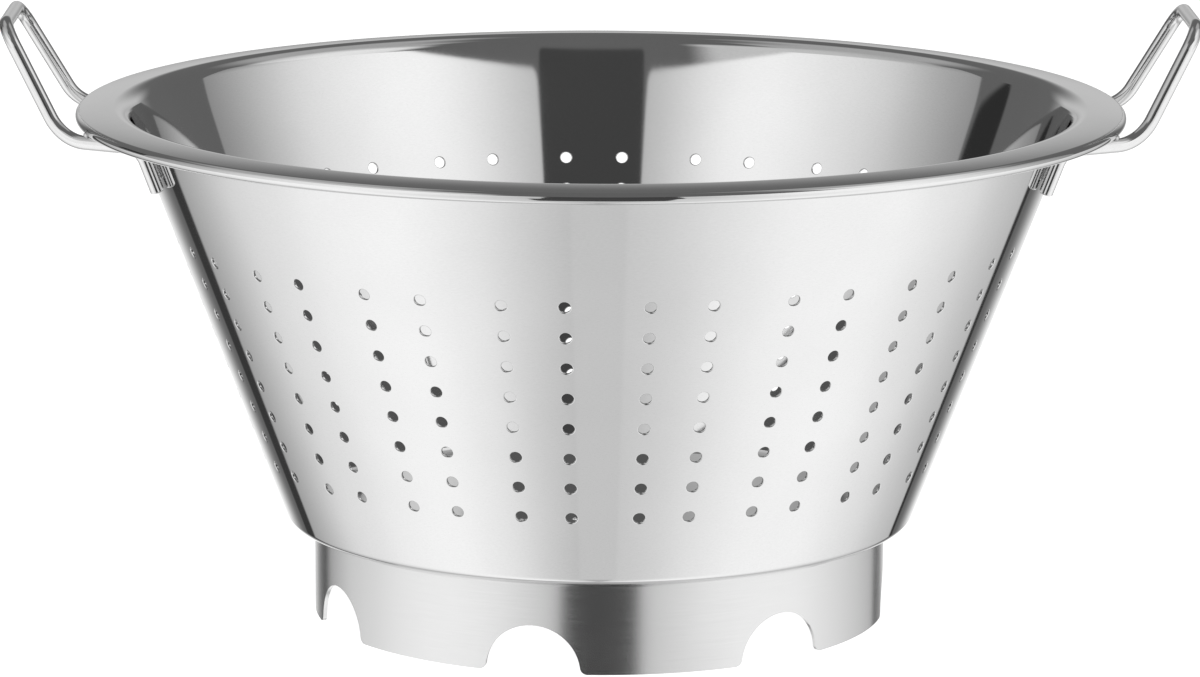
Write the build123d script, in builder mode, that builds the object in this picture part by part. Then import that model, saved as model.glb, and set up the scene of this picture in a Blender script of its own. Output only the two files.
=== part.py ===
from build123d import *
from math import asin, cos, radians, sin, sqrt, tan
import os

# A conical colander of stainless steel, standing on its foot ring.
# Lengths are in millimetres and angles in degrees. The origin is on the table
# under the axis of the bowl, +Z is up, and the wire handles point along +X and -X.

# Rim of the bowl: a flat brim that falls outwards to a hemmed edge
rim_radius = 180.0           # outermost edge
rim_width = 17.65            # from that edge in to where the wall's line starts
rim_fall = 3.0               # degrees that the brim falls outwards
hem_height = 174.85          # middle of the hem above the table
hem_radius = 1.75            # half the thickness of the hem
hem_return = 4.0             # sheet folded back under the brim
neck_radius = 6.0            # bend from wall to brim, on the food side

# Wall and bottom of the bowl
bowl_sheet = 1.0
wall_lean = 20.93            # degrees from upright
corner_radius = 4.4          # outside bend from wall to bottom
foot_height = 32.55          # table to the underside of the bottom

# Drain holes, alike in wall and bottom
drain_radius = 2.0
pair_count = 19              # pairs of upright rows round the wall
pair_spread = 8.1            # degrees between the two rows of a pair
pair_start = -9.0            # degrees from -Y to the middle of one pair
row_count = 8                # holes in an upright row
lowest_row_rise = 25.1       # underside of the bottom to the lowest holes
row_pitch = 10.85            # upright step from hole to hole
bottom_ring_count = 5        # rings of holes round the hole in the middle
bottom_ring_pitch = 15.0
holes_per_ring_step = 6      # holes that each ring has more than the last

# Foot ring: a band with arches, turned in under the bottom
foot_sheet = 1.4
foot_setback = 6.0           # band's outside inside the start of the corner
foot_bend = 2.6              # outside bend at the top of the band
foot_turn_in = 13.0          # width of the turned-in seat
arch_count = 7
arch_radius = 16.3
arch_corner = 2.5            # rounding where an arch meets the standing edge
arch_start = -13.5           # degrees from -Y to the middle of one arch

# Stitch welds that hold the foot ring's seat to the bottom
stitch_count = 8
stitch_size = 1.3            # leg of the bead
stitch_sweep = 9.0           # degrees of arc of one bead

# Handles: one bent wire each, from wall to wall
wire_radius = 2.4
wire_end_chamfer = 0.5
wall_gap = 0.3               # wire to wall, filled by the weld
rim_gap = 1.0                # wire to the hem above it, bridged by the weld
tail_length = 16.2           # wire lying down the wall
tail_half_spread = 53.2      # half the distance between the tails
elbow_reach = 1.8            # elbow's corner beyond the rim
elbow_half_spread = 38.2
grip_reach = 22.0            # grip's axis beyond the rim
grip_rise = 37.3             # grip's axis above the wire under the rim
grip_half_length = 26.0      # half the grip, to its corners
tail_bend = 6.0              # bend radii of the wire's axis
elbow_bend = 17.0
grip_bend = 11.0

# Weld beads of a handle
wall_bead_length = 11.0
wall_bead_width = 2.0
wall_bead_end = 3.5          # tail's cut end to the bead
rim_bead_radius = 1.4

cut_overrun = 5.0            # how far a cut runs past what it cuts

lean = radians(wall_lean)
fall = radians(rim_fall)

# Food side of the sheet: brim and wall meet at the neck, wall and bottom at the heel
floor_height = foot_height + bowl_sheet
hem_centre_radius = rim_radius - hem_radius
brim_edge = (hem_centre_radius + hem_radius * sin(fall), hem_height + hem_radius * cos(fall))
hem_side = (rim_radius, hem_height)
hem_under = (hem_centre_radius - hem_radius * sin(fall), hem_height - hem_radius * cos(fall))
hem_end = (hem_under[0] - hem_return * cos(fall), hem_under[1] + hem_return * sin(fall))
neck = (rim_radius - rim_width, brim_edge[1] + (brim_edge[0] - rim_radius + rim_width) * tan(fall))
heel = (neck[0] - (neck[1] - floor_height) * tan(lean), floor_height)


def wall_radius(height):
    """Outside radius of the wall at a height above the table."""
    return heel[0] + (height - floor_height) * tan(lean) + bowl_sheet / cos(lean)


def around(radius, angle, height):
    """A point by its radius, its angle from -Y towards +X, and its height."""
    return (radius * sin(radians(angle)), -radius * cos(radians(angle)), height)


# The pressed and hemmed blank, before it is pierced
with BuildPart() as bowl_blank:
    with BuildSketch(Plane.XZ):
        with BuildLine():
            FilletPolyline((0, floor_height), heel, neck, brim_edge,
                           radius=(corner_radius - bowl_sheet, neck_radius))
            ThreePointArc(brim_edge, hem_side, hem_under)
            Line(hem_under, hem_end)
            offset(amount=bowl_sheet, side=Side.RIGHT)
        make_face()
    revolve(axis=Axis.Z)

# Bowl: the blank with its drain holes, which stand square to the sheet
drill_depth = bowl_sheet + cut_overrun + cut_overrun
wall_holes = []
for pair in range(pair_count):
    middle = pair_start + pair * 360 / pair_count
    for angle in (middle - pair_spread / 2, middle + pair_spread / 2):
        outwards = Vector(*around(cos(lean), angle, -sin(lean)))
        for row in range(row_count):
            height = foot_height + lowest_row_rise + row * row_pitch
            on_wall = Vector(*around(wall_radius(height), angle, height))
            wall_holes.append(Plane(on_wall + outwards * cut_overrun, z_dir=outwards))

with BuildPart() as bowl:
    add(bowl_blank.part)
    with Locations(*wall_holes):
        Hole(radius=drain_radius, depth=drill_depth)
    with BuildSketch(Plane.XY.offset(foot_height - cut_overrun)):
        Circle(drain_radius)
        for ring in range(1, bottom_ring_count + 1):
            with PolarLocations(ring * bottom_ring_pitch, ring * holes_per_ring_step):
                Circle(drain_radius)
    extrude(amount=drill_depth, mode=Mode.SUBTRACT)
bowl.part.label = "bowl"

# Foot ring: band, bend and turned-in seat in one sheet, with arches along the table
corner_setback = corner_radius * tan(radians(45) - lean / 2)
foot_radius = wall_radius(foot_height) - corner_setback - foot_setback
seat_radius = foot_radius - foot_turn_in
arch_planes = []
for arch in range(arch_count):
    angle = arch_start + arch * 360 / arch_count
    arch_planes.append(Plane((0, 0, 0), x_dir=around(1, angle + 90, 0), z_dir=around(1, angle, 0)))

with BuildPart() as foot_ring:
    with BuildSketch(Plane.XZ):
        with BuildLine():
            FilletPolyline((foot_radius, 0), (foot_radius, foot_height), (seat_radius, foot_height),
                           radius=foot_bend)
            offset(amount=foot_sheet, side=Side.LEFT)
        make_face()
    revolve(axis=Axis.Z)
    with BuildSketch(*arch_planes):
        Circle(arch_radius)
        Rectangle((arch_radius + arch_corner + cut_overrun) * 2, arch_radius + cut_overrun,
                  align=(Align.CENTER, Align.MAX))
        near_edge = [spot for spot in vertices() if abs(spot.Y) < arch_corner / 2]
        arch_feet = [spot for spot in near_edge if abs(spot.X) < arch_radius + arch_corner / 2]
        fillet(arch_feet, radius=arch_corner)
    extrude(amount=foot_radius + cut_overrun, mode=Mode.SUBTRACT)
foot_ring.part.label = "foot_ring"

# Stitch welds in the corner between the seat's inner edge and the bottom
stitch_planes = []
for stitch in range(stitch_count):
    angle = stitch * 360 / stitch_count
    stitch_planes.append(Plane((0, 0, 0), x_dir=around(1, angle, 0), z_dir=around(1, angle - 90, 0)))

with BuildPart() as foot_ring_welds:
    with BuildSketch(*stitch_planes):
        with Locations((seat_radius, foot_height)):
            Circle(stitch_size)
            Rectangle(stitch_size, stitch_size * 2, align=(Align.MIN, Align.CENTER), mode=Mode.SUBTRACT)
            Rectangle(stitch_size * 2, stitch_size, align=(Align.CENTER, Align.MIN), mode=Mode.SUBTRACT)
    revolve(axis=Axis.Z, revolution_arc=stitch_sweep)
foot_ring_welds.part.label = "foot_ring_welds"

# Wire of a handle: its axis is given for the half towards -Y and mirrored
wire_stand_off = wire_radius + wall_gap
run_height = hem_under[1] - rim_gap - wire_radius
tail_radius = wall_radius(run_height) + wire_stand_off / cos(lean)
tail_turn = asin(tail_half_spread / tail_radius)
tail_down = Vector(-sin(lean) * cos(tail_turn), sin(lean) * sin(tail_turn), -cos(lean))
tail_top = Vector(tail_radius * cos(tail_turn), -tail_half_spread, run_height)
half_axis = [
    tail_top + tail_down * tail_length,
    tail_top,
    Vector(rim_radius + elbow_reach, -elbow_half_spread, run_height),
    Vector(rim_radius + grip_reach, -grip_half_length, run_height + grip_rise),
]
other_half = [Vector(point.X, -point.Y, point.Z) for point in reversed(half_axis)]
bends = (tail_bend, elbow_bend, grip_bend, grip_bend, elbow_bend, tail_bend)

with BuildPart() as handle_right:
    with BuildLine() as wire_axis:
        FilletPolyline(*half_axis, *other_half, radius=bends)
    with BuildSketch(Plane(wire_axis.line @ 0, z_dir=wire_axis.line % 0)):
        Circle(wire_radius)
    sweep(path=wire_axis.line)
    cut_ends = faces().filter_by(GeomType.PLANE)
    chamfer(cut_ends.edges(), length=wire_end_chamfer)
handle_right.part.label = "handle_right"

with BuildPart() as handle_left:
    mirror(handle_right.part, about=Plane.YZ)
handle_left.part.label = "handle_left"

# Weld metal of a handle: a bead under each tail and one where the wire passes the rim
wall_normal = Vector(cos(lean) * cos(tail_turn), -cos(lean) * sin(tail_turn), -sin(lean))
bead_middle = tail_top + tail_down * (tail_length - wall_bead_end - wall_bead_length / 2)
bead_plane = Plane(bead_middle, x_dir=tail_down, z_dir=-wall_normal)
run = half_axis[2] - half_axis[1]
outward_run = tail_top.dot(run)
reach_squared = hem_centre_radius ** 2 - tail_radius ** 2
rim_reach = sqrt(outward_run ** 2 + run.length ** 2 * reach_squared) - outward_run
rim_spot = tail_top + run * (rim_reach / run.length ** 2)
rim_bead_height = hem_under[1] - rim_gap / 2

with BuildPart() as handle_right_welds:
    with BuildSketch(bead_plane):
        SlotOverall(wall_bead_length, wall_bead_width)
    extrude(amount=wire_stand_off + bowl_sheet / 2)
    with Locations((rim_spot.X, rim_spot.Y, rim_bead_height)):
        Sphere(rim_bead_radius)
    mirror(about=Plane.XZ)
    add(handle_right.part, mode=Mode.SUBTRACT)
    add(bowl_blank.part, mode=Mode.SUBTRACT)
handle_right_welds.part.label = "handle_right_welds"

with BuildPart() as handle_left_welds:
    mirror(handle_right_welds.part, about=Plane.YZ)
handle_left_welds.part.label = "handle_left_welds"

os.makedirs("parts", exist_ok=True)
export_step(bowl.part, "parts/bowl.step")
export_step(foot_ring.part, "parts/foot_ring.step")
export_step(foot_ring_welds.part, "parts/foot_ring_welds.step")
export_step(handle_right.part, "parts/handle_right.step")
export_step(handle_left.part, "parts/handle_left.step")
export_step(handle_right_welds.part, "parts/handle_right_welds.step")
export_step(handle_left_welds.part, "parts/handle_left_welds.step")
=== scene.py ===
from math import asin, cos, hypot, pi, radians, sin, tan

import bpy
from mathutils import Matrix, Vector
from mathutils.geometry import delaunay_2d_cdt


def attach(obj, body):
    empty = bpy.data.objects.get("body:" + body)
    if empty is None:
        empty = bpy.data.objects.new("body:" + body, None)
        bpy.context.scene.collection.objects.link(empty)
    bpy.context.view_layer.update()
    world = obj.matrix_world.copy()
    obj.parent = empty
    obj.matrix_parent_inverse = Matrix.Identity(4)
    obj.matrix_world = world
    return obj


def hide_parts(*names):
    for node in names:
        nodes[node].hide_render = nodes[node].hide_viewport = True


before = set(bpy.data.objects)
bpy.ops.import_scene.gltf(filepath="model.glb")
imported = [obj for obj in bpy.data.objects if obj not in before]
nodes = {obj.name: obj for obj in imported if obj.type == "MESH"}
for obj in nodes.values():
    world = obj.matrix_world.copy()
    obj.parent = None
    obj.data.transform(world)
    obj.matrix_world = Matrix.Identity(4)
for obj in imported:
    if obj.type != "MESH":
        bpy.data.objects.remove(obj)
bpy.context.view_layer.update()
mm = 0.001
print("frame loaded:", ", ".join(sorted(nodes)))

# Small helpers for node trees


def grey(level):
    return (level, level, level, 1)


def linked(tree, socket, value):
    # a socket is linked, anything else is written on the input
    if isinstance(value, bpy.types.NodeSocket):
        tree.links.new(value, socket)
    else:
        socket.default_value = value


def maths(tree, operation, *values):
    node = tree.nodes.new("ShaderNodeMath")
    node.operation = operation
    for socket, value in zip(node.inputs, values):
        linked(tree, socket, value)
    return node.outputs[0]


def vectors(tree, operation, *values):
    node = tree.nodes.new("ShaderNodeVectorMath")
    node.operation = operation
    for socket, value in zip(node.inputs, values):
        linked(tree, socket, value)
    return node.outputs["Value" if operation == "LENGTH" else "Vector"]


def separated(tree, vector):
    node = tree.nodes.new("ShaderNodeSeparateXYZ")
    tree.links.new(vector, node.inputs[0])
    return node.outputs


def combined(tree, *values):
    node = tree.nodes.new("ShaderNodeCombineXYZ")
    for socket, value in zip(node.inputs, values):
        linked(tree, socket, value)
    return node.outputs[0]


def ranged(tree, value, start, end, low, high, smooth=False):
    node = tree.nodes.new("ShaderNodeMapRange")
    node.interpolation_type = "SMOOTHSTEP" if smooth else "LINEAR"
    names = ("Value", "From Min", "From Max", "To Min", "To Max")
    for name, given in zip(names, (value, start, end, low, high)):
        linked(tree, node.inputs[name], given)
    return node.outputs["Result"]


def blended(tree, share, first, second):
    node = tree.nodes.new("ShaderNodeMix")
    node.data_type = "FLOAT"
    for index, given in ((0, share), (2, first), (3, second)):
        linked(tree, node.inputs[index], given)
    return node.outputs[0]


def noise(tree, vector, scale, detail):
    node = tree.nodes.new("ShaderNodeTexNoise")
    node.inputs["Scale"].default_value = scale
    node.inputs["Detail"].default_value = detail
    tree.links.new(vector, node.inputs["Vector"])
    return node.outputs[0]


# Camera, at the photo's place

camera = {
    "place": (-0.01712, -1.96144, 0.48504),
    "looksAt": (0.0, 0.0, 0.09458),
    "lens": 173.15,
    "sensor": 36,
    "clipEnd": 30,
    "roll": 0.2238,
}

cameraData = bpy.data.cameras.new("camera")
cameraData.lens = camera["lens"]
cameraData.sensor_width = camera["sensor"]
cameraData.clip_end = camera["clipEnd"]
cameraObject = bpy.data.objects.new("camera", cameraData)
bpy.context.scene.collection.objects.link(cameraObject)
place = Vector(camera["place"])
turned = (Vector(camera["looksAt"]) - place).to_track_quat("-Z", "Y").to_matrix()
turned = turned @ Matrix.Rotation(radians(camera["roll"]), 3, "Z")
cameraObject.matrix_world = Matrix.Translation(place) @ turned.to_4x4()
bpy.context.scene.camera = cameraObject
print("camera placed")

# Studio: pale table, soft boxes left and right, dark gaps between them.
# Azimuth runs from the camera side (-Y) towards +X, elevation is above the
# horizon, both in degrees. Levels are light strengths, evenly spread over the
# card from its lowest azimuth to its highest. A later card lies over an earlier one.

allRound = 999      # wider than the whole turn, so that the card has no sides

studio = {
    "room": 0.16,
    "cards": {
        "table": dict(azimuth=0, elevation=-66, wide=allRound, high=68, corner=8, soft=6,
                      levels=(0.78,)),
        "underneath": dict(azimuth=0, elevation=-82, wide=allRound, high=34, corner=8, soft=5,
                           levels=(0.6,)),
        "behind": dict(azimuth=180, elevation=-36, wide=36, high=56, corner=12, soft=12,
                       levels=(1.2,)),
        "rear": dict(azimuth=180, elevation=7, wide=46, high=14, corner=7, soft=7,
                     levels=(0.62,)),
        "ceilingRight": dict(azimuth=115, elevation=55, wide=90, high=30, corner=10, soft=6,
                             levels=(0.5,)),
        "ceilingLeft": dict(azimuth=-110, elevation=55, wide=90, high=30, corner=10, soft=6,
                            levels=(0.5,)),
        "boxRight": dict(azimuth=77.2, elevation=-58, wide=138.5, high=108, corner=4, soft=1,
                         levels=(0.82, 0.98, 1.2, 1.29, 1.2, 0.93, 0.62)),
        "boxLeft": dict(azimuth=-76.5, elevation=-58, wide=133, high=108, corner=4, soft=1,
                        levels=(0.47, 0.89, 1.14, 1.29, 1.24, 1.0, 0.74)),
        "highRight": dict(azimuth=88, elevation=43, wide=58, high=26, corner=9, soft=6,
                          levels=(0.95, 1.1, 1.0, 0.7)),
        "highLeft": dict(azimuth=-70, elevation=42, wide=82, high=26, corner=9, soft=5,
                         levels=(0.5, 0.66, 0.74, 0.7)),
        "skyRight": dict(azimuth=69.5, elevation=12.8, wide=105, high=41.6, corner=2.5, soft=0.4,
                         levels=(0.72, 1.21, 1.2, 0.83, 0.36)),
        "skyLeft": dict(azimuth=-64.5, elevation=12.8, wide=103, high=41.6, corner=2.5, soft=0.4,
                        levels=(0.4, 0.78, 1.12, 1.2, 0.68)),
        "gapHigh": dict(azimuth=2.2, elevation=16, wide=29.8, high=42, corner=1, soft=0.4,
                        levels=(0.07,)),
        "gapLow": dict(azimuth=0, elevation=-21, wide=31, high=38, corner=1, soft=0.6,
                       levels=(0.075,)),
        "stripeRight": dict(azimuth=147.8, elevation=-22, wide=2.4, high=52, corner=1, soft=0.6,
                            levels=(0.04,)),
        "stripeLeft": dict(azimuth=-146.4, elevation=-22, wide=6, high=52, corner=1, soft=0.6,
                           levels=(0.05,)),
        "blockLeft": dict(azimuth=-122.5, elevation=9.5, wide=12, high=11, corner=2, soft=0.6,
                          levels=(0.035,)),
    },
    "brightest": 2.0,       # top of the scale on which the levels are held
    "background": 1.0,
}


def cardLevel(tree, card, across):
    # one strength, or a smooth run of strengths from side to side
    if len(card["levels"]) == 1:
        return card["levels"][0]
    ramp = tree.nodes.new("ShaderNodeValToRGB")
    ramp.color_ramp.interpolation = "CARDINAL"
    steps = len(card["levels"]) - 1
    for step in range(1, steps):
        ramp.color_ramp.elements.new(step / steps)
    for element, given in zip(ramp.color_ramp.elements, card["levels"]):
        element.color = grey(given / studio["brightest"])
    side = card["wide"] / 2
    linked(tree, ramp.inputs[0], ranged(tree, across, -side, side, 0.0, 1.0))
    return maths(tree, "MULTIPLY", ramp.outputs[0], studio["brightest"])


def cardShare(tree, card, across, upright):
    # 1 inside the card, 0 outside it, with rounded corners and a soft edge
    inner = (card["wide"] / 2 - card["corner"], card["high"] / 2 - card["corner"], 1.0)
    spot = combined(tree, across, upright)
    past = vectors(tree, "SUBTRACT", vectors(tree, "ABSOLUTE", spot), inner)
    away = vectors(tree, "LENGTH", vectors(tree, "MAXIMUM", past, (0.0, 0.0, 0.0)))
    outside = card["corner"] + card["soft"]
    inside = card["corner"] - card["soft"]
    return ranged(tree, away, outside, inside, 0.0, 1.0, smooth=True)


world = bpy.data.worlds.new("studio")
bpy.context.scene.world = world
world.use_nodes = True
tree = world.node_tree
tree.nodes.clear()
direction = tree.nodes.new("ShaderNodeTexCoord").outputs["Generated"]
towardsX, towardsY, upwards = separated(tree, direction)
towardsCamera = maths(tree, "MULTIPLY", towardsY, -1.0)
azimuth = maths(tree, "DEGREES", maths(tree, "ARCTAN2", towardsX, towardsCamera))
elevation = maths(tree, "DEGREES", maths(tree, "ARCSINE", upwards))

light = studio["room"]
for card in studio["cards"].values():
    fromCard = maths(tree, "SUBTRACT", azimuth, card["azimuth"])
    across = maths(tree, "WRAP", fromCard, 180.0, -180.0)
    upright = maths(tree, "SUBTRACT", elevation, card["elevation"])
    covered = cardShare(tree, card, across, upright)
    light = blended(tree, covered, light, cardLevel(tree, card, across))

studioLight = tree.nodes.new("ShaderNodeBackground")
linked(tree, studioLight.inputs["Strength"], light)
backgroundLight = tree.nodes.new("ShaderNodeBackground")
backgroundLight.inputs["Strength"].default_value = studio["background"]
for lightNode in (studioLight, backgroundLight):
    lightNode.inputs["Color"].default_value = grey(1)
seen = tree.nodes.new("ShaderNodeLightPath").outputs["Is Camera Ray"]
chosen = tree.nodes.new("ShaderNodeMixShader")
tree.links.new(seen, chosen.inputs[0])
tree.links.new(studioLight.outputs[0], chosen.inputs[1])
tree.links.new(backgroundLight.outputs[0], chosen.inputs[2])
tree.links.new(chosen.outputs[0], tree.nodes.new("ShaderNodeOutputWorld").inputs["Surface"])
print("studio lit with", len(studio["cards"]), "cards")

# Floor: pale paper that takes the shadow and is lifted to white for the camera

floor = {
    "half": 6.0,            # metres from the middle to a side
    "height": -0.0002,      # just under the foot ring
    "colour": 0.85,
    "lift": 0.8,
}

floorMesh = bpy.data.meshes.new("floor")
reach = floor["half"]
floorSpots = [(-reach, -reach), (reach, -reach), (reach, reach), (-reach, reach)]
floorMesh.from_pydata([(x, y, floor["height"]) for x, y in floorSpots], [], [(0, 1, 2, 3)])
floorObject = bpy.data.objects.new("floor", floorMesh)
bpy.context.scene.collection.objects.link(floorObject)
floorObject.visible_glossy = False     # the steel sees the table card instead

floorPaint = bpy.data.materials.new("palePaper")
floorPaint.use_nodes = True
tree = floorPaint.node_tree
tree.nodes.clear()
paper = tree.nodes.new("ShaderNodeBsdfDiffuse")
paper.inputs["Color"].default_value = grey(floor["colour"])
lift = tree.nodes.new("ShaderNodeEmission")
seen = tree.nodes.new("ShaderNodeLightPath").outputs["Is Camera Ray"]
linked(tree, lift.inputs["Strength"], maths(tree, "MULTIPLY", seen, floor["lift"]))
both = tree.nodes.new("ShaderNodeAddShader")
tree.links.new(paper.outputs[0], both.inputs[0])
tree.links.new(lift.outputs[0], both.inputs[1])
tree.links.new(both.outputs[0], tree.nodes.new("ShaderNodeOutputMaterial").inputs["Surface"])
floorMesh.materials.append(floorPaint)
print("floor laid")

# Steel finishes. Colour and roughness vary between two values, patches is the scale of
# the slow changes, and grain says how fast the fine marks change round the axis and up it.

finishes = {
    "polishedSteel": dict(
        colour=(0.66, 0.71), roughness=(0.03, 0.06), patches=28.0, grain=(0.35, 9.0),
        anisotropy=0.0, bump=0.0, slots=("bowl",)),
    "satinSteel": dict(
        colour=(0.65, 0.7), roughness=(0.2, 0.27), patches=40.0, grain=(0.02, 9.0),
        anisotropy=0.75, bump=0.004, slots=("foot_ring",)),
    "wireSteel": dict(
        colour=(0.66, 0.72), roughness=(0.07, 0.13), patches=60.0, grain=(0.5, 4.0),
        anisotropy=0.0, bump=0.0, slots=("handle_left", "handle_right")),
    "weldSteel": dict(
        colour=(0.5, 0.64), roughness=(0.22, 0.42), patches=400.0, grain=(2.0, 2.0),
        anisotropy=0.0, bump=0.15,
        slots=("foot_ring_welds", "handle_left_welds", "handle_right_welds")),
}
marking = {
    "patchDetail": 3.0,
    "grainScale": 300.0,
    "grainDetail": 4.0,
    "span": (0.3, 0.7),         # most of the noise lies between these
    "brushTurn": 0.25,          # a quarter turn lays the brush marks round the axis
}


def steelFinish(name, finish):
    steel = bpy.data.materials.new(name)
    steel.use_nodes = True
    tree = steel.node_tree
    shader = tree.nodes["Principled BSDF"]
    shader.inputs["Metallic"].default_value = 1.0
    where = tree.nodes.new("ShaderNodeTexCoord").outputs["Object"]
    # patches: slow changes of the polish
    patches = noise(tree, where, finish["patches"], marking["patchDetail"])
    # grain: fine marks that run round the axis
    x, y, z = separated(tree, where)
    angle = maths(tree, "ARCTAN2", y, x)
    along, across = finish["grain"]
    marks = combined(
        tree,
        maths(tree, "MULTIPLY", maths(tree, "SINE", angle), along),
        maths(tree, "MULTIPLY", maths(tree, "COSINE", angle), along),
        maths(tree, "MULTIPLY", z, across))
    grain = noise(tree, marks, marking["grainScale"], marking["grainDetail"])
    mixed = blended(tree, 0.5, patches, grain)
    roughness = ranged(tree, mixed, *marking["span"], *finish["roughness"])
    linked(tree, shader.inputs["Roughness"], roughness)
    tone = tree.nodes.new("ShaderNodeMix")
    tone.data_type = "RGBA"
    for index, level in zip((6, 7), finish["colour"]):
        tone.inputs[index].default_value = grey(level)
    linked(tree, tone.inputs[0], ranged(tree, mixed, *marking["span"], 0.0, 1.0))
    tree.links.new(tone.outputs[2], shader.inputs["Base Color"])
    if finish["bump"]:
        bump = tree.nodes.new("ShaderNodeBump")
        bump.inputs["Strength"].default_value = 1.0
        bump.inputs["Distance"].default_value = finish["bump"] * mm
        tree.links.new(grain, bump.inputs["Height"])
        tree.links.new(bump.outputs[0], shader.inputs["Normal"])
    if finish["anisotropy"]:
        shader.inputs["Anisotropic"].default_value = finish["anisotropy"]
        shader.inputs["Anisotropic Rotation"].default_value = marking["brushTurn"]
        tangent = tree.nodes.new("ShaderNodeTangent")
        tangent.direction_type = "RADIAL"
        tangent.axis = "Z"
        tree.links.new(tangent.outputs[0], shader.inputs["Tangent"])
    return steel


steels = {}
for name, finish in finishes.items():
    steels[name] = steelFinish(name, finish)
    for nodeName in finish["slots"]:
        for materialSlot in nodes[nodeName].material_slots:
            materialSlot.material = steels[name]
print("finishes made:", ", ".join(steels))

# Bowl: one pressed sheet with its drain holes, in place of the plain solid.
# Lengths are in millimetres and angles in degrees.

bowl = {
    "rimRadius": 180.0, "rimWidth": 17.65, "rimFall": 4.3, "rimCrown": 1.8,
    "hemHeight": 174.65, "hemRadius": 1.95, "hemReturn": 4.0, "neckRadius": 6.0,
    "sheet": 1.0, "wallLean": 20.93, "cornerRadius": 4.4, "footHeight": 32.55,
    "flareStart": 160.0, "flareLean": 2.2,      # the wall opens a little under the neck
    "holeRadius": 2.0, "holeRound": 0.3,        # punched edges are slightly rolled in
    "pairs": 19, "pairSpread": 8.1, "pairStart": -9.0,
    "rows": 8, "lowestRow": 25.1, "rowPitch": 10.85,
    "bottomRings": 5, "bottomPitch": 15.0, "holesPerStep": 6,
}
bowlMeshing = {
    "cornerSteps": 8, "flareSteps": 10, "neckSteps": 12, "brimSteps": 12, "hemSteps": 14,
    "stepsAcross": 7, "stepsUp": 5,             # along the sides of the cell round a wall hole
    "rimPull": 1.4,                             # above 1 the cell's middle loop is nearer the hole
    "edgeSteps": 3,                             # over the rolled edge of a hole
    "bottomHoleSteps": 20,
}

lean = radians(bowl["wallLean"])
fall = radians(bowl["rimFall"])
sheet = bowl["sheet"]
floorHeight = bowl["footHeight"] + sheet
innerFall = fall - radians(bowl["rimCrown"])      # the brim falls more towards its edge
outerFall = fall + radians(bowl["rimCrown"])
hemRadius = bowl["hemRadius"]
hemCentre = (bowl["rimRadius"] - hemRadius, bowl["hemHeight"])
brimEdge = (hemCentre[0] + hemRadius * sin(outerFall), hemCentre[1] + hemRadius * cos(outerFall))
neckR = bowl["rimRadius"] - bowl["rimWidth"]
neckZ = brimEdge[1] + (brimEdge[0] - bowl["rimRadius"] + bowl["rimWidth"]) * tan(fall)
heelR = neckR - (neckZ - floorHeight) * tan(lean)


def station(r, z, course):
    # a point of the profile, with the normal on the left of its course
    return (r, z, -sin(course), cos(course))


def turnedRound(centre, radius, start, end, steps, side):
    # side 1: the profile turns right round the centre, -1: left
    made = []
    for step in range(steps + 1):
        course = start + (end - start) * step / steps
        r = centre[0] - side * radius * sin(course)
        z = centre[1] + side * radius * cos(course)
        made.append(station(r, z, course))
    return made


def offsetBack(stations, amount):
    return [(r - nr * amount, z - nz * amount, -nr, -nz) for r, z, nr, nz in reversed(stations)]


# food side: the corner between bottom and wall
wallCourse = pi / 2 - lean
cornerInside = bowl["cornerRadius"] - sheet
cornerRun = cornerInside * tan(wallCourse / 2)
cornerCentre = (heelR - cornerRun, floorHeight + cornerInside)
cornerArc = turnedRound(cornerCentre, cornerInside, 0.0, wallCourse, bowlMeshing["cornerSteps"], -1)


def onWall(slant):
    # slant is the distance up the wall from the corner's sharp point
    return station(heelR + slant * sin(lean), floorHeight + slant * cos(lean), wallCourse)


rowSlants = []
for row in range(bowl["rows"]):
    rise = bowl["footHeight"] + bowl["lowestRow"] + bowl["rowPitch"] * row - floorHeight
    rowSlants.append((rise + sheet * sin(lean)) / cos(lean))
halfRow = bowl["rowPitch"] / cos(lean) / 2
rowEdges = [rowSlants[0] - halfRow] + [slant + halfRow for slant in rowSlants]

# the wall opens a little from the flare's start to the neck
flareSlant = (bowl["flareStart"] - floorHeight) / cos(lean)
neckSlant = (neckZ - floorHeight) / cos(lean) - bowl["neckRadius"] * tan((wallCourse + fall) / 2)
flareTurn = radians(bowl["flareLean"])
flare = []
for step in range(bowlMeshing["flareSteps"] + 1):
    share = step / bowlMeshing["flareSteps"]
    course = wallCourse - flareTurn * share ** 2
    opened = flareTurn * share ** 3 / 3 * (neckSlant - flareSlant)
    r, z, nr, nz = onWall(flareSlant + (neckSlant - flareSlant) * share)
    flare.append(station(r - nr * opened, z - nz * opened, course))

# the neck's bend starts where the flare ends and meets the line of the brim
neckRise = cos(innerFall) - cos(course)
neckReach = sin(course) + sin(innerFall)
startR, startZ = flare[-1][:2]
neckBend = (neckZ - startZ - (startR - neckR) * tan(fall)) / (neckRise + neckReach * tan(fall))
neckCentre = (startR + neckBend * sin(course), startZ - neckBend * cos(course))
neckArc = turnedRound(neckCentre, neckBend, course, -innerFall, bowlMeshing["neckSteps"], 1)

# the brim is crowned, from the inner fall to the outer one
brimR, brimZ = neckArc[-1][:2]
brimRun = brimEdge[0] - brimR
brimLine = []
for step in range(1, bowlMeshing["brimSteps"]):
    share = step / bowlMeshing["brimSteps"]
    sunk = tan(innerFall) * share + (tan(outerFall) - tan(innerFall)) * share ** 2 / 2
    course = -(innerFall + (outerFall - innerFall) * share)
    brimLine.append(station(brimR + brimRun * share, brimZ - brimRun * sunk, course))

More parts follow.
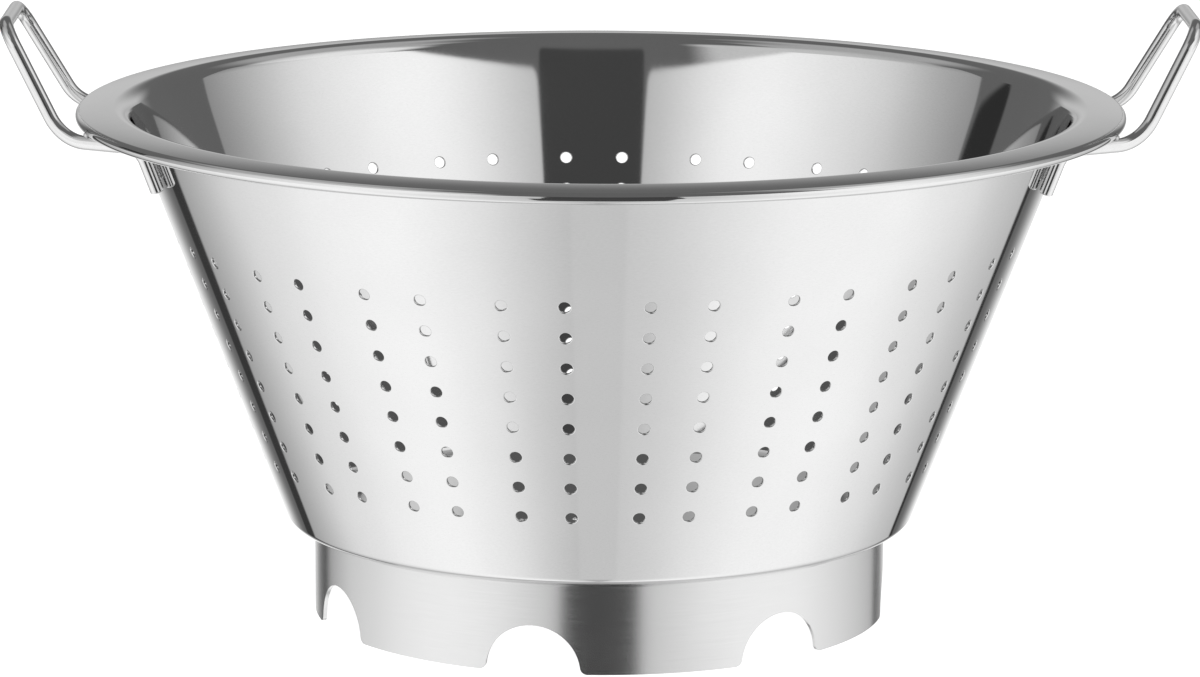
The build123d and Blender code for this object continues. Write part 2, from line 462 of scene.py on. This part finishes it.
# the hem turns under the brim and runs back a little
hemCourse = -outerFall - pi
hemArc = turnedRound(hemCentre, hemRadius, -outerFall, hemCourse, bowlMeshing["hemSteps"], 1)
hemR, hemZ = hemArc[-1][:2]
hemReturn = bowl["hemReturn"]
hemEnd = station(hemR + hemReturn * cos(hemCourse), hemZ + hemReturn * sin(hemCourse), hemCourse)

lowFood = cornerArc + [onWall(rowEdges[0])]
highFood = [onWall(rowEdges[-1])] + flare + neckArc[1:] + brimLine + hemArc + [hemEnd]
highBack = offsetBack(highFood, sheet)
lowBack = offsetBack(lowFood, sheet)
cap = [spot[:2] + (-cos(outerFall), sin(outerFall)) for spot in (hemEnd, highBack[0])]

stepsAcross = bowlMeshing["stepsAcross"]
stepsUp = bowlMeshing["stepsUp"]
cells = bowl["pairs"] * 2
cellTurn = 2 * pi / cells
firstTurn = radians(bowl["pairStart"])
around = cells * stepsAcross
turns = [firstTurn + cellTurn * step / stepsAcross for step in range(around)]

points, faces, facing = [], [], []      # facing holds one normal for each corner of each face
rings = {}


def spun(r, z, turn):
    # turn runs from the camera side (-Y) towards +X
    return Vector((r * sin(turn), -r * cos(turn), z))


def addPoints(made):
    first = len(points)
    points.extend(made)
    return list(range(first, len(points)))


def addFace(spots, normals):
    faces.append(spots)
    facing.extend(normals)


def ringAt(r, z):
    key = (round(r, 6), round(z, 6))
    if key not in rings:
        rings[key] = addPoints([spun(r, z, turn) for turn in turns])
    return rings[key]


def addBand(first, second):
    # faces right round the axis, between two stations of the profile
    near, far = ringAt(*first[:2]), ringAt(*second[:2])
    nearFacing = [spun(*first[2:], turn) for turn in turns]
    farFacing = [spun(*second[2:], turn) for turn in turns]
    for j in range(around):
        k = (j + 1) % around
        normals = (nearFacing[j], farFacing[j], farFacing[k], nearFacing[k])
        addFace((near[j], far[j], far[k], near[k]), normals)


sameSpot = 1e-6     # points nearer than this are one
for strip in (lowFood, highFood, cap, highBack, lowBack):
    for first, second in zip(strip, strip[1:]):
        if hypot(second[0] - first[0], second[1] - first[1]) >= sameSpot:
            addBand(first, second)

# each drain hole: a rolled edge on both faces of the sheet and the wall between
edgeSteps = bowlMeshing["edgeSteps"]
holeRound = bowl["holeRound"]
rimReach = bowl["holeRadius"] + holeRound


def rolledEdge(rim, normals, out):
    # loops of points and normals, from the flat sheet into the hole
    middle = sum((points[spot] for spot in rim), Vector()) / len(rim)
    loops = [(rim, normals)]
    for step in range(1, edgeSteps + 1):
        bend = pi / 2 * step / edgeSteps
        sunk = holeRound * (1 - cos(bend))
        inward = holeRound * sin(bend)
        spots, spotNormals = [], []
        for spot, normal in zip(rim, normals):
            away = points[spot] - middle
            away = (away - out * away.dot(out)).normalized()
            spots.append(points[spot] - away * inward - out * sunk)
            spotNormals.append((normal * cos(bend) - away * sin(bend)).normalized())
        loops.append((addPoints(spots), spotNormals))
    return loops


def addHole(outer, inner, axis):
    # both rims run the same way round, axis points out of the outer face
    loops = rolledEdge(*outer, axis) + rolledEdge(*inner, -axis)[::-1]
    for (near, nearNormals), (far, farNormals) in zip(loops, loops[1:]):
        for j in range(len(near)):
            k = (j + 1) % len(near)
            normals = (nearNormals[j], nearNormals[k], farNormals[k], farNormals[j])
            addFace((near[j], near[k], far[k], far[j]), normals)


# wall: one cell round each hole, on both faces of the sheet
rimCount = 2 * (stepsAcross + stepsUp)
rimStart = -pi / 2 - pi * stepsAcross / rimCount
rimAngles = [rimStart + 2 * pi * step / rimCount for step in range(rimCount)]
holeAside = radians(bowl["pairSpread"]) / 2
rimPull = bowlMeshing["rimPull"]


def wallSpot(slant, sunk):
    # sunk is how deep the point lies under the food side
    r, z, nr, nz = onWall(slant)
    return r - nr * sunk, z - nz * sunk


def wallPoints(places, sunk):
    return addPoints([spun(*wallSpot(slant, sunk), turn) for turn, slant in places])


def slantsOf(row):
    low, high = rowEdges[row], rowEdges[row + 1]
    return [low + (high - low) * step / stepsUp for step in range(stepsUp + 1)]


def borderPlaces(cell, row):
    # (turn, slant) round the cell: along its foot, up, back along its top and down
    start = turns[cell * stepsAcross]
    ends = [start + cellTurn * step / stepsAcross for step in range(stepsAcross + 1)]
    slants = slantsOf(row)
    foot = [(turn, slants[0]) for turn in ends[:-1]]
    up = [(ends[-1], slant) for slant in slants[:-1]]
    top = [(turn, slants[-1]) for turn in reversed(ends[1:])]
    down = [(ends[0], slant) for slant in reversed(slants[1:])]
    return foot + up + top + down


def borderSpots(cell, row, rowRings, uprights):
    # the shared points that lie at borderPlaces
    ends = [(cell * stepsAcross + step) % around for step in range(stepsAcross + 1)]
    foot, top = rowRings[row], rowRings[row + 1]
    spots = [foot[end] for end in ends] + uprights[(cell + 1) % cells][row]
    spots += [top[end] for end in reversed(ends)] + uprights[cell][row][::-1]
    return spots


def holeTurnOf(cell):
    start = turns[cell * stepsAcross]
    if cell % 2:
        return start + cellTurn - holeAside
    return start + holeAside


def addCell(cell, row, border, sunk, flip):
    # faces between the border and the hole; flip is 1 on the food side and -1 on the
    # outer one; gives back the hole's rim
    holeTurn = holeTurnOf(cell)
    rimPlaces = []
    for angle in rimAngles:
        slant = rowSlants[row] + rimReach * sin(angle)
        aside = asin(rimReach * cos(angle) / wallSpot(slant, sunk)[0])
        rimPlaces.append((holeTurn + aside, slant))
    places = borderPlaces(cell, row)
    middle = []
    for (turn, slant), (rimTurn, rimSlant) in zip(places, rimPlaces):
        middleTurn = (turn + rimPull * rimTurn) / (1 + rimPull)
        middle.append((middleTurn, (slant + rimPull * rimSlant) / (1 + rimPull)))
    _, _, nr, nz = onWall(0.0)
    loops = []
    for spots, lying in (
            (border, places),
            (wallPoints(middle, sunk), middle),
            (wallPoints(rimPlaces, sunk), rimPlaces)):
        loops.append((spots, [spun(nr, nz, turn) * flip for turn, slant in lying]))
    for (near, nearNormals), (far, farNormals) in zip(loops, loops[1:]):
        for j in range(rimCount):
            k = (j + 1) % rimCount
            spots = (near[j], near[k], far[k], far[j])
            normals = (nearNormals[j], nearNormals[k], farNormals[k], farNormals[j])
            addFace(spots[::-flip], normals[::-flip])
    return loops[-1]


def addWallSide(sunk, flip):
    rowRings = [ringAt(*wallSpot(slant, sunk)) for slant in rowEdges]
    uprights = []
    for cell in range(cells):
        turn = turns[cell * stepsAcross]
        made = []
        for row in range(bowl["rows"]):
            made.append(wallPoints([(turn, slant) for slant in slantsOf(row)[1:-1]], sunk))
        uprights.append(made)
    rims = {}
    for cell in range(cells):
        for row in range(bowl["rows"]):
            border = borderSpots(cell, row, rowRings, uprights)
            rims[cell, row] = addCell(cell, row, border, sunk, flip)
    return rims


foodRims = addWallSide(0.0, 1)
backRims = addWallSide(sheet, -1)
_, _, wallNr, wallNz = onWall(0.0)
for cell, row in backRims:
    addHole(backRims[cell, row], foodRims[cell, row], spun(-wallNr, -wallNz, holeTurnOf(cell)))

# bottom: flat, triangulated between its edge and its holes
holeCentres = [Vector((0, 0))]
for ring in range(1, bowl["bottomRings"] + 1):
    count = ring * bowl["holesPerStep"]
    for step in range(count):
        angle = 2 * pi * step / count
        holeCentres.append(Vector((cos(angle), sin(angle))) * ring * bowl["bottomPitch"])
flatCount = bowlMeshing["bottomHoleSteps"]
flatRim = []
for step in range(flatCount):
    angle = 2 * pi * step / flatCount
    flatRim.append(Vector((cos(angle), sin(angle))) * rimReach)
edgeR = cornerArc[0][0]
flat = [spun(edgeR, 0, turn).xy for turn in turns]
lines = [(j, (j + 1) % around) for j in range(around)]
for centre in holeCentres:
    first = len(flat)
    flat += [centre + spot for spot in flatRim]
    lines += [(first + j, first + (j + 1) % flatCount) for j in range(flatCount)]
flatFaces = delaunay_2d_cdt(flat, lines, [], 0, sameSpot)[2]


def holeOf(spot):
    return -1 if spot < around else (spot - around) // flatCount


def addBottomSide(height, up):
    # up is 1 for the food side and -1 for the underside; gives back the flat's points
    spots = ringAt(edgeR, height) + addPoints([Vector((x, y, height)) for x, y in flat[around:]])
    for face in flatFaces:
        owners = {holeOf(spot) for spot in face}
        inHole = len(owners) == 1 and -1 not in owners
        if not inHole:
            addFace([spots[spot] for spot in face[::up]], [Vector((0, 0, up))] * 3)
    return spots


foodFlat = addBottomSide(floorHeight, 1)
backFlat = addBottomSide(bowl["footHeight"], -1)
for hole in range(len(holeCentres)):
    first = around + hole * flatCount
    rims = []
    for spots, up in ((backFlat, -1), (foodFlat, 1)):
        rims.append((spots[first:first + flatCount][::-1], [Vector((0, 0, up))] * flatCount))
    addHole(*rims, Vector((0, 0, -1)))

bowlMesh = bpy.data.meshes.new("bowlSheet")
bowlMesh.from_pydata([point * mm for point in points], [], faces)
bowlMesh.shade_smooth()
bowlMesh.normals_split_custom_set([normal.normalized() for normal in facing])
bowlMesh.materials.append(steels["polishedSteel"])
bowlObject = bpy.data.objects.new("bowl_sheet", bowlMesh)
bpy.context.scene.collection.objects.link(bowlObject)
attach(bowlObject, "root")
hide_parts("bowl")
print("bowl formed:", len(faces), "faces,", len(foodRims) + len(holeCentres), "holes")

# Colour management

bpy.context.scene.view_settings.view_transform = "Standard"
